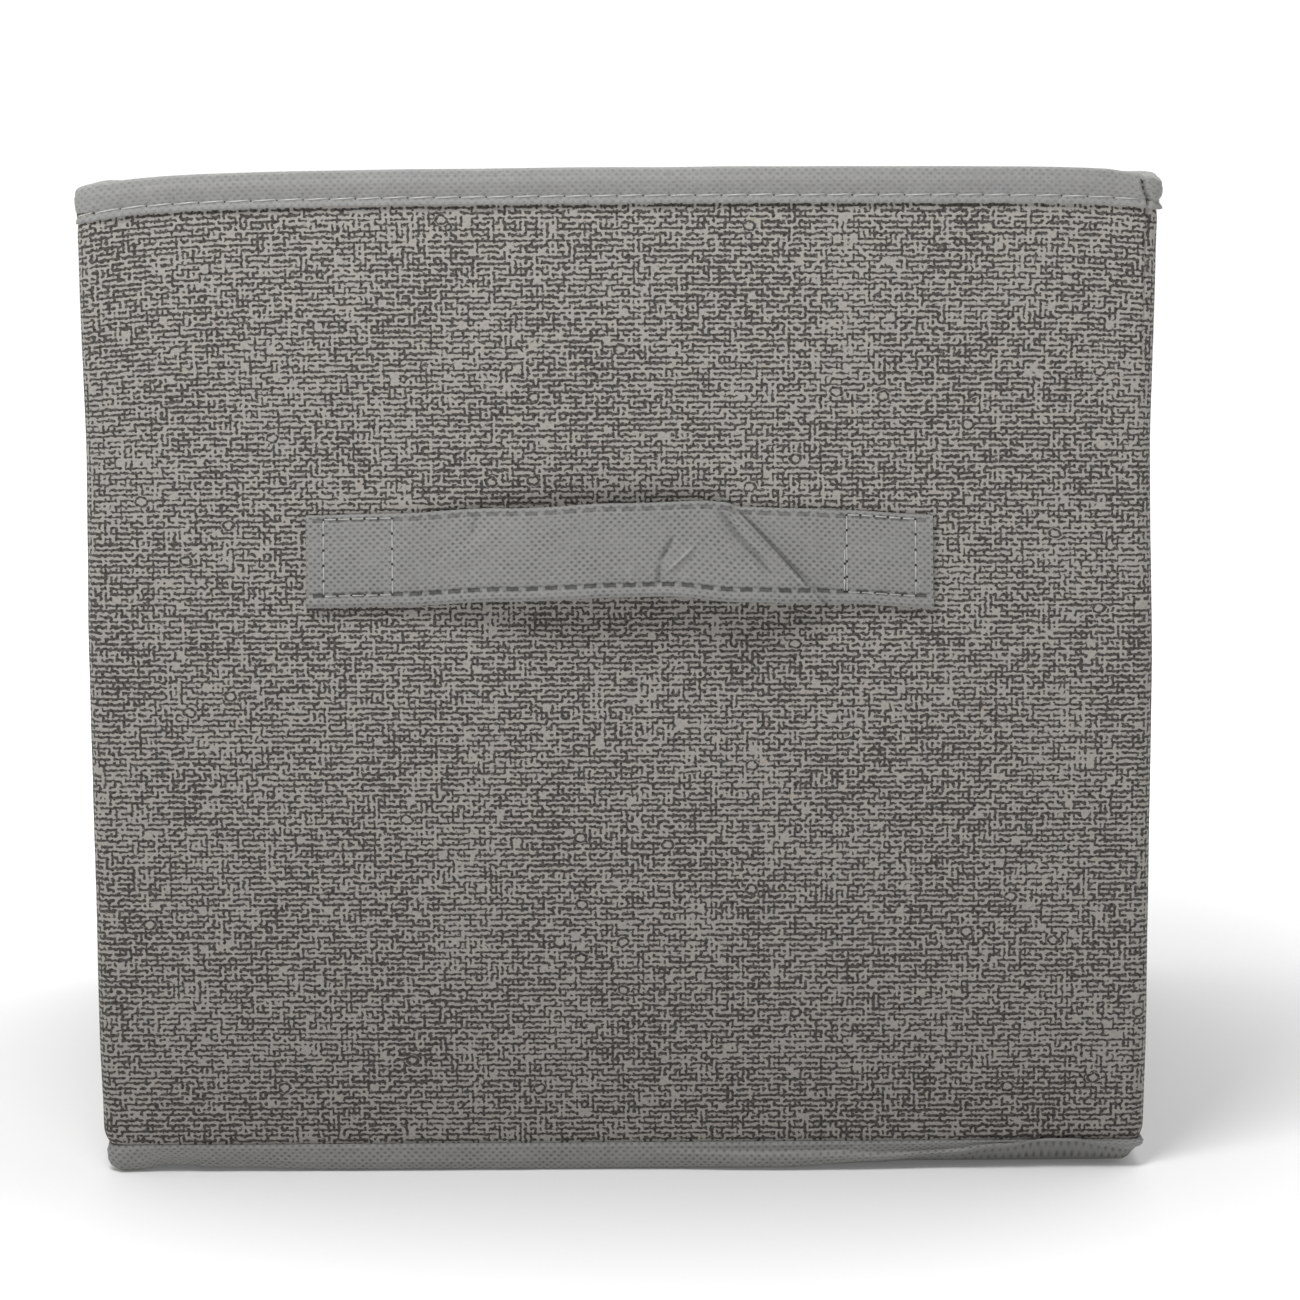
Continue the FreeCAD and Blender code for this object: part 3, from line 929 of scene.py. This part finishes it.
def band_swell(u, z):
    """The fold along the band's front and the knobs at the tray's corners."""
    share = smooth(u / (40 * MM)) * (1 - smooth((u - 126 * MM) / (12 * MM)))
    fold = 2.0 * MM * share * smooth((between(FOLD_LINE, u) + 0.45 * MM - z) / (0.9 * MM))
    knob = 1.3 * MM * near_corner(u, 4.5 * MM) * smooth((TRAY_HIGH - z) / (2 * MM))
    return fold + knob + 0.30 * MM * ripple(u, z * 2, 9 * MM, 17.0)


def tray_point(u, n, z, share, upper):
    """A point of the tray. share draws the foot's ring towards the middle; upper means the inner face."""
    x, y, nx, ny = outline(u)
    reach = n
    if share == 1.0 and not upper:
        reach += band_swell(u, z) * smooth(z / (1.5 * MM))
    p = settle((x + nx * reach) * share, (y + ny * reach) * share, z)
    edge = smooth((share - 0.8) / 0.2)
    lift = band_raise(u)
    p.z += lift * smooth((n + 4 * MM) / (4 * MM)) * edge * (1 - z / TRAY_HIGH)
    p.z += min(1.0 * MM, lift) * smooth((share - 0.82) / 0.14) * (1 - smooth(z / TRAY_HIGH))
    p.z += 0.12 * MM * abs(ripple(p.x, p.y, 30 * MM, 18.0)) * (1 - edge)
    return p


def tray_levels():
    """The tray's rings as (n, z, share, upper): its floor below, the band up and down, its floor above."""
    full, lip, inner = 0.30 * MM, 0.55 * MM, -0.8 * MM
    band = in_mm((-2.6, 0.0), (-1.5, 0.15), (-0.7, 0.6), (-0.15, 1.3), (0.1, 2.1))
    band = [(FOOT_IN, 0.0)] + band + [(full, z) for z in steps(2.6 * MM, TRAY_HIGH - 0.7 * MM, 0.4 * MM)]
    band += [(full - 0.1 * MM, TRAY_HIGH - 0.3 * MM), (full - lip, TRAY_HIGH)]
    inside = [(full - lip - 0.35 * MM, TRAY_HIGH - 0.2 * MM), (inner, TRAY_HIGH - 1.0 * MM)]
    inside += [(inner, z) for z in steps(5 * MM, 2 * MM, 1.0 * MM)]
    inside += [(-1.6 * MM, 1.1 * MM), (-2.8 * MM, TRAY_CLOTH), (FOOT_IN, TRAY_CLOTH)]
    levels = [(FOOT_IN, 0.0, share, False) for share in FLOOR_SHARES]
    levels += [(n, z, 1.0, False) for n, z in band] + [(n, z, 1.0, True) for n, z in inside]
    return levels + [(FOOT_IN, TRAY_CLOTH, share, True) for share in reversed(FLOOR_SHARES)]


def tray():
    """The plain bottom cloth and its upturned edge, one closed piece."""
    places = steps(-U_END, U_END, 1.4 * MM)[:-1]
    count, turn = len(places), places[1] - places[0]
    points, spot_uv = [], []
    levels = tray_levels()
    for n, z, share, upper in levels:
        for u in places:
            p = tray_point(u, n, z, share, upper)
            points.append(p)
            spot_uv.append((u, z + n * 0.5) if share == 1.0 else (p.x, p.y))
    faces = ring_faces(len(levels), count)
    corners = [[spot_uv[k] for k in face] for face in faces]
    for r in range(len(FLOOR_SHARES), len(levels) - len(FLOOR_SHARES) - 1):
        a, b, c, d = corners[r * count + count - 1]
        corners[r * count + count - 1] = [a, (a[0] + turn, b[1]), (d[0] + turn, c[1]), d]
    for first, z, flip in ((0, 0.0, True), ((len(levels) - 1) * count, TRAY_CLOTH, False)):
        middle = len(points)
        points.append(Vector((0, 0, z)))
        for k in range(count):
            a, b = first + k, first + (k + 1) % count
            a, b = (b, a) if flip else (a, b)
            faces.append((middle, a, b))
            corners.append([(0.0, 0.0), spot_uv[a], spot_uv[b]])
    piece = make_mesh("bottom_tray_cloth", points, faces, corners, [BASE])
    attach(piece, "back_wall")
    bands = [f"base_band_{side}" for side in ("front", "back", "left", "right")]
    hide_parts("bottom_panel", *bands)
    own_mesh(piece)


# ---- loose base board
BOARD_RADIUS = 3.0 * MM
SIDE_PARTS = 40
CORNER_PARTS = 6


def board_ring(half_x, half_y, inset):
    """Points of a rounded rectangle, the same number at every inset."""
    hx, hy = half_x - inset, half_y - inset
    r = max(0.3 * MM, BOARD_RADIUS - inset)
    turns = []
    for sx, sy, start in ((1, -1, -90), (1, 1, 0), (-1, 1, 90), (-1, -1, 180)):
        angles = [math.radians(start + 90 * k / CORNER_PARTS) for k in range(CORNER_PARTS + 1)]
        turns.append([(sx * (hx - r) + r * math.cos(a), sy * (hy - r) + r * math.sin(a)) for a in angles])
    ring = []
    for turn, after in zip(turns, turns[1:] + turns[:1]):
        (x0, y0), (x1, y1) = turn[-1], after[0]
        shares = [k / SIDE_PARTS for k in range(1, SIDE_PARTS)]
        ring += turn + [(x0 + (x1 - x0) * t, y0 + (y1 - y0) * t) for t in shares]
    return ring


def base_board():
    """The loose base board: cloth sewn round a greyboard core, with a seam near its edge."""
    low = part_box("base_board_bottom_cloth")[0]
    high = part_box("base_board_top_cloth")[1]
    middle, thick = (low.z + high.z) / 2, (high.z - low.z) / 2
    seam = high.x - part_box("base_board_stitching")[1].x
    inward = [2 * MM, 3.5 * MM, seam - 0.8 * MM, seam, seam + 0.8 * MM, seam + 3 * MM, 16 * MM, 30 * MM,
              55 * MM, 85 * MM, 110 * MM]
    edge = [(1.2 * MM * (1 - math.cos(a)), math.sin(a)) for a in steps(-math.pi / 2, math.pi / 2, 0.35)]
    levels = [(inset, -1.0) for inset in reversed(inward)] + edge + [(inset, 1.0) for inset in inward]
    points = []
    for inset, level in levels:
        dip = 0.32 * MM * bump(inset - seam, 1.0 * MM)
        for x, y in board_ring(high.x, high.y, inset):
            soft = 0.22 * MM * ripple(x, y, 26 * MM, 25.0) * smooth(inset / (10 * MM))
            swell = soft * (0.6 if level > 0 else 0.2)
            points.append(Vector((x, y, middle + level * (thick - dip - 0.15 * MM + swell))))
    count = len(points) // len(levels)
    faces = ring_faces(len(levels), count)
    faces.append(tuple(reversed(range(count))))
    faces.append(tuple(range(len(points) - count, len(points))))
    corners = [[(points[i].x, points[i].y + (points[i].z if points[i].z > middle else 0)) for i in face]
               for face in faces]
    piece = make_mesh("base_board_cloth_cover", points, faces, corners, [LINING])
    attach(piece, "base_board")
    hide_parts("base_board_top_cloth", "base_board_bottom_cloth")

    level, up = high.z - 0.40 * MM, Vector((0, 0, 1))
    seam_x, seam_y = high.x - seam, high.y - seam
    runs = []
    for start, end in box_sides(-seam_x, -seam_y, seam_x, seam_y):
        for spots in seam_line(start, end, RIM_PITCH, gap=2 * MM):
            runs.append(([Vector((x, y, level)) for x, y in spots], up))
    thread = make_stitches("base_board_stitches", runs)
    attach(thread, "base_board")
    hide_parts("base_board_stitching")


def base_board_core():
    """The stiff board inside the base board's cloths."""
    low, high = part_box("base_board_core")
    inset, spacing, gap = 0.2 * MM, 20 * MM, 0.05 * MM
    across = steps(low.x + inset, high.x - inset, spacing)
    along = steps(low.y + inset, high.y - inset, spacing)
    core = make_shell("base_board_stiffener", across, along, BOARD,
                      outer=lambda x, y: Vector((x, y, high.z - gap)),
                      inner=lambda x, y: Vector((x, y, low.z + gap)))
    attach(core, "base_board")
    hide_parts("base_board_core")


# ---- strap handle
def rise_table(*middle):
    """Rise along one edge of the strap: in millimetres over its free middle, with its sewn ends added."""
    return [(-STRAP_END, 0.0), (-STRAP_FREE, 0.4 * MM), *in_mm(*middle), (STRAP_FREE, 0.4 * MM),
            (STRAP_END, -0.8 * MM)]


# The strap's upper edge steps down at the slanting fold.
LOW_RISE = rise_table((-30, 1.7), (0, 2.8), (12, 3.0), (31, 1.5), (46, 0.9))
HIGH_RISE = rise_table((-30, 1.7), (0, 2.9), (21, 3.3), (26.5, 2.9), (30.2, 1.5), (46, 0.9))
# Creases in the strap: start and end as (x, v), half width and height, all in millimetres.
STRAP_CREASES = [
    ((28.9, 10.8), (46.4, -7.5), 0.45, 0.45),
    ((30.3, 10.8), (47.6, -7.3), 0.42, -0.60),
    ((24.4, 10.2), (38.9, -5.2), 0.80, -0.95),
    ((21.6, 9.0), (32.0, -2.0), 1.10, 0.55),
    ((31.6, -0.4), (35.4, -4.4), 0.60, 0.45),
    ((14.0, 3.6), (10.2, -3.5), 0.70, -0.80),
    ((10.2, -3.2), (9.8, -9.4), 0.70, -0.80),
    ((19.4, 1.4), (11.6, -5.6), 0.70, 0.85),
    ((-35.5, 10.5), (-37.0, 4.5), 0.70, -0.55),
    ((2.0, -4.5), (4.0, -9.5), 0.80, 0.50),
    ((-44.0, -3.0), (-30.0, 6.0), 2.20, 0.40),
    ((-18.0, 9.0), (-6.0, -6.0), 3.00, 0.45),
]
# How far the slack middle of the strap stands off the wall at rest.
STRAP_SLACK = 0.62 * STRAP_BOW
# Share of the strap's stand-off left at each distance in millimetres from its slanting fold, which is at 0.
FALL = [(-24, 1.0), (-16, 0.86), (-7.5, 0.58), (-4.5, 0.44), (-0.40, 0.36), (0.25, 0.02), (4, 0.0)]
# The tabs' box of stitches, as distances from the middle of the strap.
SEAM_INSET = 0.2 * MM
TAB_SEAM_IN, TAB_SEAM_OUT = TAB_SEAM_LOW.x + SEAM_INSET, TAB_SEAM_HIGH.x - SEAM_INSET
TAB_SEAM_DOWN, TAB_SEAM_UP = TAB_SEAM_LOW.z + SEAM_INSET - STRAP_Z, TAB_SEAM_HIGH.z - SEAM_INSET - STRAP_Z


def to_segment(x, v, start, end):
    """Distance from a point of the strap to a crease, and 0 to 1 how near the crease's middle it is."""
    ax, av, bx, bv = (c * MM for c in (*start, *end))
    length2 = (bx - ax) ** 2 + (bv - av) ** 2
    t = min(1.0, max(0.0, ((x - ax) * (bx - ax) + (v - av) * (bv - av)) / length2))
    return math.hypot(x - ax - (bx - ax) * t, v - av - (bv - av) * t), smooth(4 * t * (1 - t) + 0.15)


def strap_bow(x, v):
    """How far the strap stands off the wall. It falls away along a slanting fold to the right."""
    left = smooth((x + STRAP_FREE) / (46 * MM))
    right = between(FALL, (x + 1.03 * v) / MM - 39.9, ease=float)
    low_slack = 1.2 * MM * smooth((x - 12 * MM) / (20 * MM)) * right * smooth(-v / (10 * MM))
    flat = 0.35 * MM * smooth((STRAP_FREE + 4 * MM - abs(x)) / (6 * MM))
    return STRAP_SLACK * left * right + low_slack + flat


def strap_face(x, v):
    """Height of the strap's outer face over its own plain thickness."""
    lower, upper = WELD_LINES[0][0], WELD_LINES[1][0]
    face = -0.32 * MM * bump(v - lower, 0.75 * MM) - 0.22 * MM * bump(v - upper, 0.7 * MM)
    roll = smooth((lower - v) / (1.0 * MM))
    face += 0.90 * MM * roll * (1 - smooth((lower - 2.0 * MM - v) / (1.6 * MM)))
    for start, end, width, height in STRAP_CREASES:
        away, share = to_segment(x, v, start, end)
        face += height * MM * share * bump(away, width * MM)
    free = smooth((STRAP_FREE - abs(x)) / (10 * MM))
    face += 0.30 * MM * ripple(x, v, 16 * MM, 28.0) * free + 0.05 * MM * ripple(x, v, 4 * MM, 29.0)
    for seam_x in (TAB_SEAM_IN, TAB_SEAM_OUT):
        face -= 0.20 * MM * bump(abs(x) - seam_x, 0.7 * MM)
    return face


def strap_point(x, v, outside):
    """A point of the strap's outer or inner face. v runs across it, from -half to half its width."""
    half = STRAP_WIDTH / 2
    edge = smooth((abs(v) - half + 0.9 * MM) / (0.9 * MM))
    lift = strap_bow(x, v) + 0.12 * MM
    if outside:
        stand = lift + STRAP_CLOTH - 0.1 * MM + strap_face(x, v) - 0.45 * MM * edge
    else:
        stand = lift + 0.30 * MM * edge
    high = smooth((v + half) / (2 * half))
    rise = between(LOW_RISE, x) * (1 - high) + between(HIGH_RISE, x) * high
    z = STRAP_Z + rise + v + 0.12 * MM * ripple(x, math.copysign(1, v), 18 * MM, 30.0)
    return settle(x, -HALF_Y - max(cover_relief(x, z), 0.0) - stand, z)


def strap():
    """The carry strap in two halves that meet in the middle, each bent towards its sewn end."""
    half, hem, coarse, fine = STRAP_WIDTH / 2, 1.5 * MM, 0.5 * MM, 0.27 * MM
    creased_from, creased_to = 8 * MM, 50 * MM
    across = steps(-half, -half + hem, 0.25 * MM)[:-1] + steps(-half + hem, half - hem, fine)
    across += steps(half - hem, half, 0.25 * MM)[1:]
    along = steps(0.0, creased_from, coarse)[:-1] + steps(creased_from, creased_to, fine)[:-1]
    along += steps(creased_to, STRAP_END, coarse)
    for side, sign in (("left", -1), ("right", 1)):
        places = sorted(sign * x for x in along)
        piece = make_shell(f"handle_strap_{side}_half", places, across, STRAP,
                           outer=lambda x, v: strap_point(x, v, True),
                           inner=lambda x, v: strap_point(x, v, False))
        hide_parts(f"handle_tab_{side}", "handle_strap")
        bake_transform(piece)


def strap_stitches():
    """The box of stitches at each end of the strap, outside on the strap and inside on the lining."""
    for side, sign in (("left", -1), ("right", 1)):
        lines = box_sides(TAB_SEAM_IN, TAB_SEAM_DOWN, TAB_SEAM_OUT, TAB_SEAM_UP)
        if side == "right":
            # The needle went back over the seam here.
            lines.append(((TAB_SEAM_IN - 0.7 * MM, TAB_SEAM_DOWN), (TAB_SEAM_IN - 0.5 * MM, 2 * MM)))
        runs = []
        for start, end in lines:
            for spots in seam_line(start, end, TAB_PITCH):
                outside = [strap_point(sign * x, v, True) for x, v in spots]
                inside = [lining_front(sign * x, STRAP_Z + v) for x, v in spots]
                runs += [(outside, Vector((0, -1, 0))), (inside, Vector((0, 1, 0)))]
        piece = make_stitches(f"handle_{side}_stitches", runs)
        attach(piece, "front_wall")
        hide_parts(f"handle_stitching_{side}")


def lining_front(x, z):
    """A point of the front wall's lining."""
    return settle(x, -HALF_Y + WALL + lining_relief(x, z), z)


# ---- stage, light and camera
WHITE = (1.0, 1.0, 1.0, 1.0)
# Name, place, width in metres and power in watts.
LAMPS = (("key", (-0.16, -0.44, 0.76), 0.32, 4.6), ("top", (0.15, 0.35, 1.25), 0.9, 5.5))


def studio_world():
    """Soft light from all round, brightest from behind the bin, which also gives the white background."""
    world = bpy.data.worlds.new("studio")
    world.use_nodes = True
    tree = world.node_tree
    place = tree.nodes.new("ShaderNodeTexCoord")
    split = tree.nodes.new("ShaderNodeSeparateXYZ")
    tree.links.new(place.outputs["Generated"], split.inputs[0])
    level = tree.nodes.new("ShaderNodeMapRange")
    level.interpolation_type = "SMOOTHSTEP"
    for key, number in (("From Min", -0.15), ("From Max", 0.15), ("To Min", 0.14), ("To Max", 1.06)):
        level.inputs[key].default_value = number
    tree.links.new(split.outputs["Y"], level.inputs["Value"])
    sky = tree.nodes["Background"]
    sky.inputs["Color"].default_value = WHITE
    tree.links.new(level.outputs["Result"], sky.inputs["Strength"])
    bpy.context.scene.world = world
    bpy.context.scene.view_settings.view_transform = "Standard"


def floor_white():
    """The floor's pale matt paint. Away from the bin it glows a little, so that it runs out to white."""
    g = Graph("stage_white", roughness=0.9)
    away = (g.u * g.u + g.v * g.v).run("SQRT")
    g.shader.inputs["Emission Color"].default_value = WHITE
    g.feed(g.shader.inputs["Emission Strength"], g.soft(away, 0.14, 0.62, 0.10, 0.74))
    tone = g.noise(0.8, 95.0)
    return g.finish(g.mix(tone, (0.76, 0.76, 0.76), (0.78, 0.78, 0.78)), tone, 0.01 * MM)


def stage():
    """A plain pale floor and large soft lights, the strongest above the front and a little to the left."""
    half = 6.0
    spread = [(-half, -half), (half, -half), (half, half), (-half, half)]
    floor = make_mesh("floor", [(x, y, 0) for x, y in spread], [(0, 1, 2, 3)], [spread], [floor_white()])
    studio_world()
    for name, place, width, power in LAMPS:
        data = bpy.data.lights.new(name, "AREA")
        data.size = width
        data.energy = power
        lamp = add_object(name, data)
        lamp.location = place
        aim = Vector((0, 0, HEIGHT / 2)) - lamp.location
        lamp.rotation_euler = aim.to_track_quat("-Z", "Y").to_euler()


def camera():
    """The camera at the viewing angle, rolled a little, with the bin just left of and below the middle."""
    distance, elevation, roll = 0.90, math.radians(6.8), math.radians(0.37)
    data = bpy.data.cameras.new("camera")
    data.sensor_width = 36.0
    data.lens = 98.75
    made = add_object("camera", data)
    target = Vector((7.5 * MM, -HALF_Y, HEIGHT / 2 + 6.9 * MM))
    back = Vector((0, -math.cos(elevation), math.sin(elevation)))
    made.location = target + back * distance
    turn = (-back).to_track_quat("-Z", "Y").to_matrix()
    made.rotation_mode = "QUATERNION"
    made.rotation_quaternion = (turn @ Matrix.Rotation(-roll, 3, "Z")).to_quaternion()
    bpy.context.scene.camera = made


camera()
for part in WALLS:
    board(part)
for part in WALLS + BENDS:
    rim_stitches(part)
    cover(part)
    lining(part)
    binding(part)
tray()
base_board()
base_board_core()
strap()
strap_stitches()
stage()
